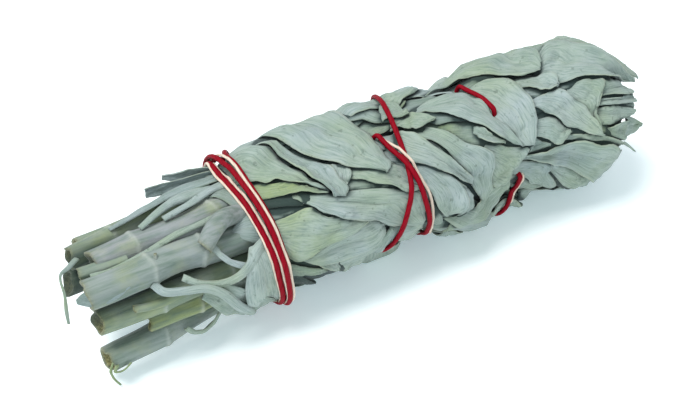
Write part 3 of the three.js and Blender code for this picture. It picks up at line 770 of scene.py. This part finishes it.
# Knots of the middle line (s, y, z) from the bunch's axis, from cut end to wound part, and how far
# from the cut the rings of the nodes are
STEMS = [
    dict(knots=[(4, 12, 3), (40, 11.5, 4.5), (60, 10.6, 2.8)], radius=3.3, tint=0.35),
    dict(knots=[(-1, 4.5, 7.2), (20, 6.3, 9.4), (42, 8, 11), (60, 6.3, 9)], radius=3.2, tint=0.2),
    dict(radius=3.6, tint=0.95, nodes=(11.5, 33), knots=[
        (2, -3, 9.2), (28, -3.4, 11.8), (42, -1.8, 12.4), (60, -1, 11)]),
    dict(radius=3.7, tint=0.75, nodes=(17, 31), knots=[
        (-3, -10.9, 7.6), (20, -10.6, 8.2), (43, -10.2, 7.2), (60, -7.8, 7.8)]),
    dict(radius=3.2, tint=0.25, knots=[
        (-1, -10.4, -2.8), (19, -11.4, -1.4), (42, -11.4, -0.6), (60, -11, 1)]),
    dict(radius=2.8, tint=0.05, knots=[
        (12, -10.4, -8.4), (28, -10.2, -7.8), (42, -9.4, -7.2), (60, -9, -6.3)]),
    dict(radius=3.4, tint=0.6, knots=[
        (0, -10.6, -15.6), (20, -9, -14.4), (38, -6.4, -12.4), (60, -2.8, -10.6)]),
    dict(knots=[(3, 3.4, -9.6), (60, 4.6, -10)], radius=3.2, tint=0.4),
    dict(knots=[(-2, 6, -1.4), (30, 8, -3), (60, 10, -4.6)], radius=3.2, tint=0.5),
]
STEM_SIDES = 32
ROUND = np.linspace(0, FULL_TURN, STEM_SIDES, endpoint=False)[None, :]
# The cut: shares of the radius from the rim inwards, for a pithy and for a hollow stem, and how much
# of the pith's colour each ring of points has
PITHY = (0.93, 0.78, 0.66, 0.4, 0.03)
HOLLOW = (0.93, 0.8, 0.76, 0.7, 0.03)
CUT_COLOUR = np.array([1, 0.85, 0.6, 0.35, 0.3])[:, None]
# Distance from the bunch's axis within which the stems are in the dark, and from which they are not
IN_THE_DARK = (8.5, 13.5)


def add_tube(builder, centre, radius, tint, seed, hollow=1.2, slant=0.25, nodes=(), rag=0.3):
    """A stem or twig along points (s, y, z), cut at its first end, where it is hollowed."""
    ways = unit(np.gradient(centre, axis=0))
    up = unit(np.cross(ways, [0, 1, 0.2]))
    side = np.cross(up, ways)
    run = distances(centre)[:, None]
    size = 1 + 0.05 * np.cos(4 * (ROUND - 0.4 * seed)) + 0.02 * np.cos(11 * ROUND + seed)
    size = size * (1 + 0.02 * ripple(run / 20, ROUND / 2, seed + 2, low=0.3, high=0.9))
    for at in nodes:
        collar, swelling = (np.exp(-(((run - at) / reach) ** 2)) for reach in (0.7, 4))
        size = size * (1 + 0.1 * collar + 0.06 * swelling)
    size = size * np.asarray(radius).reshape(-1, 1)
    around = np.cos(ROUND)[..., None] * up[:, None] + np.sin(ROUND)[..., None] * side[:, None]
    ring = centre[:, None] + size[..., None] * around
    # The cut slants and is ragged, and its pith is sunk
    edge = slant * size[0] * np.cos(ROUND[0] - 0.9 * seed)
    edge = edge + rag * ripple(ROUND[0] * 0.5, 0 * ROUND[0], seed + 3)
    ring = ring - (np.exp(-run / 1.5) * edge)[..., None] * ways[0]
    inner = []
    middle = ring[0].mean(axis=0)
    depths = (-0.15, 0.1, hollow * 0.6, hollow, hollow * 1.1)
    for share, depth in zip(HOLLOW if hollow > 2 else PITHY, depths):
        inner.insert(0, middle + (ring[0] - middle) * share + ways[0] * depth)
    grid = np.concatenate([np.array(inner), ring])
    points = MM * (grid + np.array([-MIDDLE, SIDEWAYS, AXIS_HEIGHT]))
    node, cut = np.zeros((2, *grid.shape[:2]))
    for at in nodes:
        node[5:] += np.exp(-(((run - at + 0.3 * np.sin(3 * ROUND)) / 0.55) ** 2))
    cut[:5] = CUT_COLOUR
    cut[5:] = 0.25 * np.exp(-run / 0.6)
    # Painted shade, greater the nearer a stem lies to the bunch's axis
    deep = 1 - smoothstep(np.hypot(grid[..., 1], grid[..., 2]), *IN_THE_DARK)
    builder.add(points, tube_faces(len(grid), STEM_SIDES), tint=tint, cut=cut, node=node, deep=deep)
    return ring


# Laying the leaves
field = Field()
stem_builders = [MeshBuilder("tint", "cut", "node", "deep") for _ in STEMS]
leaf_builders = [MeshBuilder("along", "across", "tint", "green", "shade") for _ in STEMS]
WOUND_END = 50  # s to which the stems lie under the leaves
for k, stem in enumerate(STEMS):
    centre = curve_through(stem["knots"], 150)
    seed = 3 * k + 1
    sway = 0.35 * np.sin(math.pi * np.clip((centre[:, 0] - centre[0, 0]) / 40, 0, 1))
    centre[:, 1] += sway * ripple(centre[:, 0] / 40, 0 * sway, seed)
    centre[:, 2] += sway * ripple(centre[:, 0] / 40, 0 * sway, seed + 1)
    ring = add_tube(
        stem_builders[k], centre, stem["radius"], stem["tint"], seed, slant=0.3 * math.sin(2.3 * seed),
        nodes=stem.get("nodes", (15 + 4 * math.sin(seed), 33 + 3 * math.cos(seed))),
    )
    fine = refined_points(ring, 3)
    field.rise_to(fine[fine[..., 0] < WOUND_END])

# Patches of painted shade on the lower leaves, in the hollows between the shown ones: s, angle, and
# half their sizes
CAVITIES = [
    (51.5, 127, 6, 10), (57, 205, 9, 22), (52, 190, 5, 10), (135.5, 127, 5, 9), (132, 155, 4, 8),
    (154.5, 167, 4, 14), (121, 148, 4, 7), (121.5, 199, 4, 12), (142, 225, 4, 12), (111, 114, 6, 8),
    (144.5, 158, 4, 9), (90, 178, 4, 12),
]


def painted_cavity_shade(s, angle):
    deep = np.zeros(s.shape)
    for at, middle, half_s, half_angle in CAVITIES:
        off = ((s - at) / half_s) ** 2 + ((np.mod(angle, 360) - middle) / half_angle) ** 2
        deep = np.maximum(deep, 0.85 * (1 - smoothstep(off, 0.5, 1.6)))
    return deep


def from_tips(leaves):
    return sorted(leaves, key=lambda leaf: -leaf["root"][0])


draw = np.random.default_rng(5)
laid = []
for k, leaf in enumerate(from_tips(filler_leaves())):
    # Filler leaves carry a little painted shade all over (their deep share)
    leaf = dict(leaf, tint=draw.uniform(0.1, 0.7), green=draw.uniform(0, 0.8), deep=0.1)
    laid.append(drape(leaf, field, 1000 + 10 * k))
for k, leaf in enumerate(from_tips(under_leaves() + back_leaves())):
    leaf = dict(leaf, tint=draw.uniform(0.25, 1), green=draw.uniform(0, 0.5), deep=0)
    laid.append(drape(leaf, field, 10 * k))
for k, leaf in enumerate(SHOWN_LEAVES):
    laid.append(drape(leaf, field, 600 + 10 * k))
for blade in laid:
    u, leaf, s, angle = (blade[key] for key in ("u", "leaf", "s", "angle"))
    r, shade = lifted(blade, field)
    r = r - 1.2 * (1 - smoothstep(u, 0.0, 0.12))
    shown = "a" in leaf
    root = leaf["a"][0] if shown else leaf["root"]
    # Leaves that are not shown get painted shade: at least their deep share, and more in the cavities
    if not shown:
        shade = np.maximum(np.maximum(shade, leaf["deep"]), painted_cavity_shade(s, angle))
    builder = leaf_builders[round((root[1] - FIRST_SECTOR) / SECTOR) % len(STEMS)]
    add_blade(builder, place(s, angle, r), u, blade["v"], leaf["tint"], leaf.get("green", 0.45), shade)

# Loose stalks, rolled blades and twigs among the stems

# Knots of (s, angle, radius, width), with the tilt of the blade about its run and how far it is
# folded along its middle
RIBBONS = [
    dict(stem=4, fold=0.5, thick=0.8, green=0.8, tint=0.9, knots=[
        (20.3, 158, 16.6, 1.6), (24.2, 167, 17.6, 1.7), (29.2, 172, 18.4, 1.9),
        (33.8, 170.5, 19.2, 2.1), (37.3, 164.5, 19.4, 2.6), (40, 157, 18.8, 3.2),
        (44, 152, 17.4, 3.4)]),
    dict(stem=4, fold=-0.1, thick=0.5, green=0.35, tint=0.9, knots=[
        (40.2, 152, 17.8, 3), (40.5, 165, 19, 8), (41, 182, 19.4, 12), (42, 200, 19.6, 12),
        (43.5, 214, 19.6, 9), (45, 224, 19.4, 4)]),
    dict(stem=4, fold=0.9, thick=0.7, green=0.5, tint=0.8, knots=[
        (13, 156, 15.2, 1.8), (15, 164.5, 16.8, 1.9), (20, 168.2, 18, 2), (25.4, 171.6, 18.8, 2.2),
        (29.5, 181.6, 19.6, 2.4), (33.2, 198, 20.2, 2.6), (37, 214, 20.6, 2.8),
        (39.2, 226, 20.8, 2.2)]),
    dict(stem=5, fold=-0.2, thick=0.5, green=0.6, tint=0.3, knots=[
        (25, 178, 17, 4), (29.5, 186, 18, 8), (35, 202, 18.8, 10), (40.5, 216, 19.4, 9),
        (44, 226, 19.4, 5)]),
    dict(stem=3, fold=0.4, thick=0.9, green=0.1, tint=1, knots=[
        (29.8, 143, 17.2, 1.2), (31.4, 152, 18.2, 1.3), (33.8, 160, 18.4, 1.3),
        (37.3, 166, 18.2, 1.4), (42, 169, 17, 1.6)]),
    dict(stem=2, fold=0.9, thick=0.5, green=0.1, tint=0.6, knots=[
        (15.8, 97.8, 14.6, 1.4), (21, 91, 15.8, 2), (26, 84, 16.4, 3.2), (30, 80, 16.2, 5),
        (38, 76, 15.6, 5.5)]),
    dict(stem=2, fold=0.7, thick=0.6, green=0.1, tint=0.7, knots=[
        (22, 99, 15.2, 1.4), (30.3, 96, 16.6, 1.8), (36.6, 90, 17, 2.4), (43, 86, 16.6, 3)]),
    dict(stem=1, fold=0.4, thick=0.5, green=0, tint=0, tilt=1.1, knots=[
        (22.8, 56, 17.9, 2.8), (27, 56, 17.6, 3.4), (33, 58, 17.2, 3.4), (42, 62, 16.8, 4)]),
    dict(stem=1, fold=0.5, thick=0.5, green=0.1, tint=0.5, tilt=1, knots=[
        (28.6, 52, 20.2, 1.2), (32, 53, 19.3, 2.6), (36, 55, 18.6, 4.8), (41, 60, 17.6, 5.5)]),
    dict(stem=1, fold=0.5, thick=0.5, green=0, tint=0.2, knots=[
        (10, 71, 12.8, 1.5), (20, 70, 15, 3), (30, 66, 16.4, 4.5), (42, 70, 16.8, 6)]),
    dict(stem=3, fold=0.4, thick=0.6, green=0.5, tint=0.7, knots=[
        (-0.5, 128, 13.4, 1), (4.6, 130, 13.6, 1.3), (12.8, 126, 13.8, 1.3), (24, 118, 14.6, 1.6),
        (34, 116, 15.2, 2)]),
    dict(stem=3, fold=0.3, thick=0.4, green=0, tint=0, knots=[
        (-5, 150, 11, 1.2), (-3.6, 150, 12.4, 3.4), (-1, 150, 14.6, 4.6), (3, 150, 16, 3.6),
        (7, 148, 16.4, 1.4)]),
    dict(stem=6, fold=1, thick=0.4, green=0.6, tint=0.7, knots=[
        (20.4, 220, 18.4, 1.4), (22.5, 225, 20.2, 2.2), (25.5, 227, 20.8, 2.6),
        (28.5, 226, 19.6, 2.2), (31, 224, 17.6, 1.6)]),
    dict(stem=4, fold=0.5, thick=0.5, green=0.3, tint=0.3, knots=[
        (33, 186, 15.6, 3), (38, 190, 16.8, 5), (44, 192, 17.4, 6)]),
    dict(stem=1, fold=0.4, thick=0.4, green=1, tint=0.2, knots=[
        (-1, 96, 11.4, 1.6), (-3.9, 107, 12.2, 1.2), (-6.6, 113, 12.4, 0.6), (-7.4, 122, 12.2, 0.5),
        (-7.8, 137, 13, 0.7), (-8.9, 152, 14.2, 0.8), (-9.6, 163, 15.6, 0.5)]),
    dict(stem=6, fold=0.2, thick=0.4, green=1, tint=0.6, knots=[
        (0.5, 228, 19.6, 0.8), (-0.6, 232, 21.6, 0.7), (0.2, 237, 24, 0.5), (1.6, 240, 26.4, 0.4)]),
    dict(stem=6, fold=0.2, thick=0.4, green=1, tint=0.8, knots=[
        (1, 226, 20.6, 1), (0.4, 230, 22, 0.9), (2.4, 231, 22.4, 0.8), (4.6, 227, 21.2, 0.6)]),
]
TWIGS = [
    dict(stem=3, radius=[2.2, 2.5, 2.6, 2.6, 2.4], hollow=4, tint=0.85, knots=[
        (27.6, 139, 18.4), (30.4, 131, 18.9), (34, 124, 18), (38.3, 120.5, 15.6), (43, 120, 14)]),
    dict(stem=2, radius=[1.7, 1.7, 1.7], hollow=2.5, tint=0.4, knots=[
        (-2.3, 119, 11.2), (2, 120, 11.4), (10, 121, 11.6)]),
    dict(stem=4, radius=[1, 1, 1.1, 1.2], hollow=0.8, tint=0.2, knots=[
        (7.2, 175, 14.6), (11.5, 178, 14.8), (16, 180, 14.4), (22, 181, 13)]),
    dict(stem=3, radius=[0.4, 0.6, 0.8], hollow=0.3, tint=0.8, knots=[
        (15.6, 131, 16.8), (15.4, 134, 16.4), (15.2, 138, 15.4)]),
]


def add_ribbon(builder, ribbon, seed):
    """A narrow blade along its knots, folded along its middle."""
    rows, columns = 40, 8
    knots = np.array(ribbon["knots"], float)
    s, angle, r, width = curve_through(knots, rows + 1).T
    points = place(s, angle, r)
    ways = unit(np.gradient(points, axis=0))
    side = unit(np.cross(ways, points - place(s, angle, 0 * r)))
    out = np.cross(side, ways)
    turned, tilt = math.cos(ribbon.get("tilt", 0)), math.sin(ribbon.get("tilt", 0))
    side, out = turned * side + tilt * out, turned * out - tilt * side
    t = np.linspace(-1, 1, columns + 1)[None, :]
    u = np.linspace(0, 1, rows + 1)[:, None]
    half = MM * width[:, None] / 2
    bend = ribbon["fold"] * 1.2
    across = half * np.sin(t * bend) / bend
    depth = half * ((1 - np.cos(t * bend)) / bend + 0.06 * ripple(u * 3, t, seed))
    grid = points[:, None] + across[..., None] * side[:, None] - depth[..., None] * out[:, None]
    add_blade(builder, grid, u, t, ribbon["tint"], ribbon["green"], 0.0, ribbon["thick"])
    # The strings pass over it
    fine = refined_points(grid / MM, 4) + np.array([MIDDLE, -SIDEWAYS, -AXIS_HEIGHT])
    field.rise_to(fine, ribbon["thick"])


for k, ribbon in enumerate(RIBBONS):
    add_ribbon(leaf_builders[ribbon["stem"]], ribbon, 500 + 7 * k)
for k, twig in enumerate(TWIGS):
    s, angle, r = np.array(twig["knots"], float).T
    knots = np.stack([s, r * np.cos(np.radians(angle)), r * np.sin(np.radians(angle))], axis=-1)
    radius = curve_through(np.array(twig["radius"])[:, None], 50)
    add_tube(
        stem_builders[twig["stem"]], curve_through(knots, 50), radius, twig["tint"], 40 + k,
        hollow=twig["hollow"], rag=0.15,
    )

# Strings
TWIST_PITCH = 3.4
STRING_SIDES = 15
STRING_STEP = 1.5  # angle between the points of a string
SUNK = 0.7  # share of its radius at which a string's middle lies above what is below it
# Where the outward string ends and the string back begins
BACK_START = 1651
# Turns between which the strings run under a leaf, and how deep, and where the red one is half sunk
HIDDEN = [(1562, 1616), (1095, 1174)]
RED_HIDDEN = (1370, 1512)
CREAM_HIDDEN = (1370, 1616)
HIDDEN_DEPTH = 6.5
HALF_SUNK = (1500, 1515), (1556, 1570)
HALF_SUNK_DEPTH = 0.9
# Past the crossing the cream string strays from the red one
STRAY_TURN, STRAY_SPREAD, STRAY_DISTANCE = 1238, 28, 1.6


def eased(line):
    """A line of values with each but its ends averaged with its neighbours."""
    even = line.copy()
    even[1:-1] = (line[:-2] + 2 * line[1:-1] + line[2:]) / 4
    return even


def string_line(first, last, radius, beside=0.0, stray=0.0):
    """s, angle and radius of a string's centre line, drawn taut on the field."""
    turn = np.arange(first, last, STRING_STEP)
    slope = (string_s(turn + 5) - string_s(turn - 5)) / (ARC_RADIUS * math.radians(10))
    beside = beside + stray * np.exp(-(((turn - STRAY_TURN) / STRAY_SPREAD) ** 2))
    s = string_s(turn) + beside * np.hypot(1, slope)
    for _ in range(60):
        s = eased(s)
    under = field.reached(s, turn)
    for ds in (-SUNK * radius, SUNK * radius):
        under = np.maximum(under, field.reached(s + ds, turn))
    need = under + radius * SUNK
    r = need
    for _ in range(80):
        r = np.maximum(need, eased(r) - 0.004)
    return s, turn, r


def raise_by_string(s, turn, r, radius):
    for d in np.linspace(-radius, radius, 7):
        field.rise(s + d, turn, r + np.sqrt(radius**2 - d**2 + 1e-9) - 0.25 * radius)


def add_string(builder, s, turn, r, radius, plies):
    """A cord of twisted plies along its line."""
    points = place(s, turn, r)
    ways = unit(np.gradient(points, axis=0))
    side = unit(np.cross(ways, unit(points - place(s, turn, 0 * r))))
    out = np.cross(side, ways)
    run = distances(points)[:, None] / MM
    a = np.linspace(0, FULL_TURN, STRING_SIDES, endpoint=False)[None, :]
    lobe = np.abs(np.sin(plies * (a - FULL_TURN * run / (TWIST_PITCH * plies)) / 2))
    size = radius * (0.94 + 0.07 * lobe) * MM
    around = 0.85 * np.cos(a)[..., None] * out[:, None, :] + np.sin(a)[..., None] * side[:, None, :]
    ring = points[:, None, :] + size[..., None] * around
    # How much painted shade the grooves between the plies get
    groove = 0.7 * (1 - smoothstep(lobe, 0.0, 0.45))
    builder.add(ring, tube_faces(len(points), STRING_SIDES), groove=groove)


red_back = string_line(BACK_START, LAST_TURN, RED_RADIUS)
raise_by_string(*(part[20:] for part in red_back), RED_RADIUS)
red_out = string_line(FIRST_TURN, BACK_START, RED_RADIUS)
cream_line = string_line(
    CREAM_FIRST_TURN, CREAM_LAST_TURN, CREAM_RADIUS, RED_RADIUS + CREAM_RADIUS, STRAY_DISTANCE
)
red_out[2][:] += 0.15
red_line = tuple(np.concatenate(pair) for pair in zip(red_out, red_back))
for _ in range(25):
    red_line[2][:] = eased(red_line[2])
for line, hidden in ((red_line, [*HIDDEN, RED_HIDDEN]), (cream_line, [*HIDDEN, CREAM_HIDDEN])):
    for first, last in hidden:
        line[2][:] -= HIDDEN_DEPTH * hump(line[1], (first - 8, first + 4), (last - 4, last + 8))
red_line[2][:] -= HALF_SUNK_DEPTH * hump(red_line[1], *HALF_SUNK)
red_builder, cream_builder = MeshBuilder("groove"), MeshBuilder("groove")
add_string(red_builder, *red_line, RED_RADIUS, 3)
add_string(cream_builder, *cream_line, CREAM_RADIUS, 2)
red_look = string_material("red_cotton_look", (0.06, 0.0, 0.003), (0.215, 0.001, 0.009))
cream_look = string_material("cream_cotton_look", (0.34, 0.24, 0.19), (0.62, 0.52, 0.43))
red_string = red_builder.object("red_cord", red_look)
cream_string = cream_builder.object("cream_cord", cream_look)
for piece, node, slot in (
    (red_string, "red_string", "red_cotton"), (cream_string, "cream_string", "cream_cotton")
):
    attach(piece, "root")
    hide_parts(node)

for k in range(len(STEMS)):
    bare = stem_builders[k].object(f"bare_stem_{k + 1}", stem_look)
    wound = leaf_builders[k].object(f"wound_leaves_{k + 1}", leaf_look)
    for piece in (bare, wound):
        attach(piece, "root")
        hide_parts(f"leafy_stem_{k + 1}")


# Inner leaves: a body darkened by painted shade that closes the gaps


def inner_body():
    s = np.linspace(42, 152, 58)[:, None]
    angle = np.linspace(0, 360, 72, endpoint=False)[None, :]
    r = inner_radius(s, angle) - 0.8 + 0.3 * ripple(s / 6, angle / 30, 3)
    r = r * np.clip(1 - ((s - 139) / 13).clip(0, 1) ** 2, 0.05, 1)
    builder = MeshBuilder("along", "across", "tint", "green", "shade")
    faces = tube_faces(s.size, angle.size)
    # Painted shade: a shade of 0.6 darkens the whole body nearly to black
    builder.add(place(s, angle, r), faces, along=0.5, across=0.5, tint=0, green=0, shade=0.6)
    return builder.object("inner_leaves", leaf_look)


inside = inner_body()
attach(inside, "root")

# Floor, light and camera
FLOOR = 3.0  # half the floor's side
corners = [(x * FLOOR, y * FLOOR, 0) for x, y in ((-1, -1), (1, -1), (1, 1), (-1, 1))]
floor_mesh = bpy.data.meshes.new("floor")
floor_mesh.from_pydata(corners, [], [(0, 1, 2, 3)])
floor = bpy.data.objects.new("floor", floor_mesh)
bpy.context.collection.objects.link(floor)
floor_look = Look("floor_look", 0.9)
floor_look.feed(floor_look.shader.inputs["Base Color"], (0.93, 0.95, 0.97))
# Painted light: the floor glows faintly cyan, which lifts the shadows on it and lights the bunch a
# little from below
floor_look.feed(floor_look.shader.inputs["Emission Color"], (0.7, 0.95, 1.0))
floor_look.feed(floor_look.shader.inputs["Emission Strength"], 0.22)
floor_mesh.materials.append(floor_look.made)

# The photograph's camera, in the frame of the bunch
AZIMUTH, ELEVATION, DISTANCE, LENS = -31.187, 38.0, 0.376636, 70.0
AIM = Vector((-0.006465, SIDEWAYS * MM, 0.017392))
az, el = math.radians(AZIMUTH), math.radians(ELEVATION)
back = Vector((math.sin(az) * math.cos(el), -math.cos(az) * math.cos(el), math.sin(el)))


def aimed(name, data, back, distance):
    """An object that looks at AIM from a distance back."""
    piece = bpy.data.objects.new(name, data)
    bpy.context.collection.objects.link(piece)
    piece.location = AIM + back * distance
    piece.rotation_euler = back.to_track_quat("Z", "Y").to_euler()
    return piece


def area_light(name, direction, distance, size, power, colour):
    data = bpy.data.lights.new(name, "AREA")
    data.shape = "DISK"
    data.size = size
    data.energy = power
    data.color = colour
    aimed(name, data, Vector(direction).normalized(), distance)


camera_data = bpy.data.cameras.new("camera")
camera_data.lens = LENS
camera_data.sensor_width = 36
camera_data.clip_start = 0.01
bpy.context.scene.camera = aimed("camera", camera_data, back, DISTANCE)
area_light("sky", (-0.4, 0.0, 1.0), 0.9, 0.5, 8.3, (1, 0.99, 0.96))
area_light("fill", (-0.5, -1.0, 0.75), 1.2, 0.6, 2.6, (0.95, 0.98, 1))
bpy.context.scene.view_settings.view_transform = "Standard"

world = bpy.data.worlds.new("world")
bpy.context.scene.world = world
world.use_nodes = True
background = world.node_tree.nodes["Background"]
background.inputs["Color"].default_value = (0.88, 0.97, 1, 1)
background.inputs["Strength"].default_value = 0.7
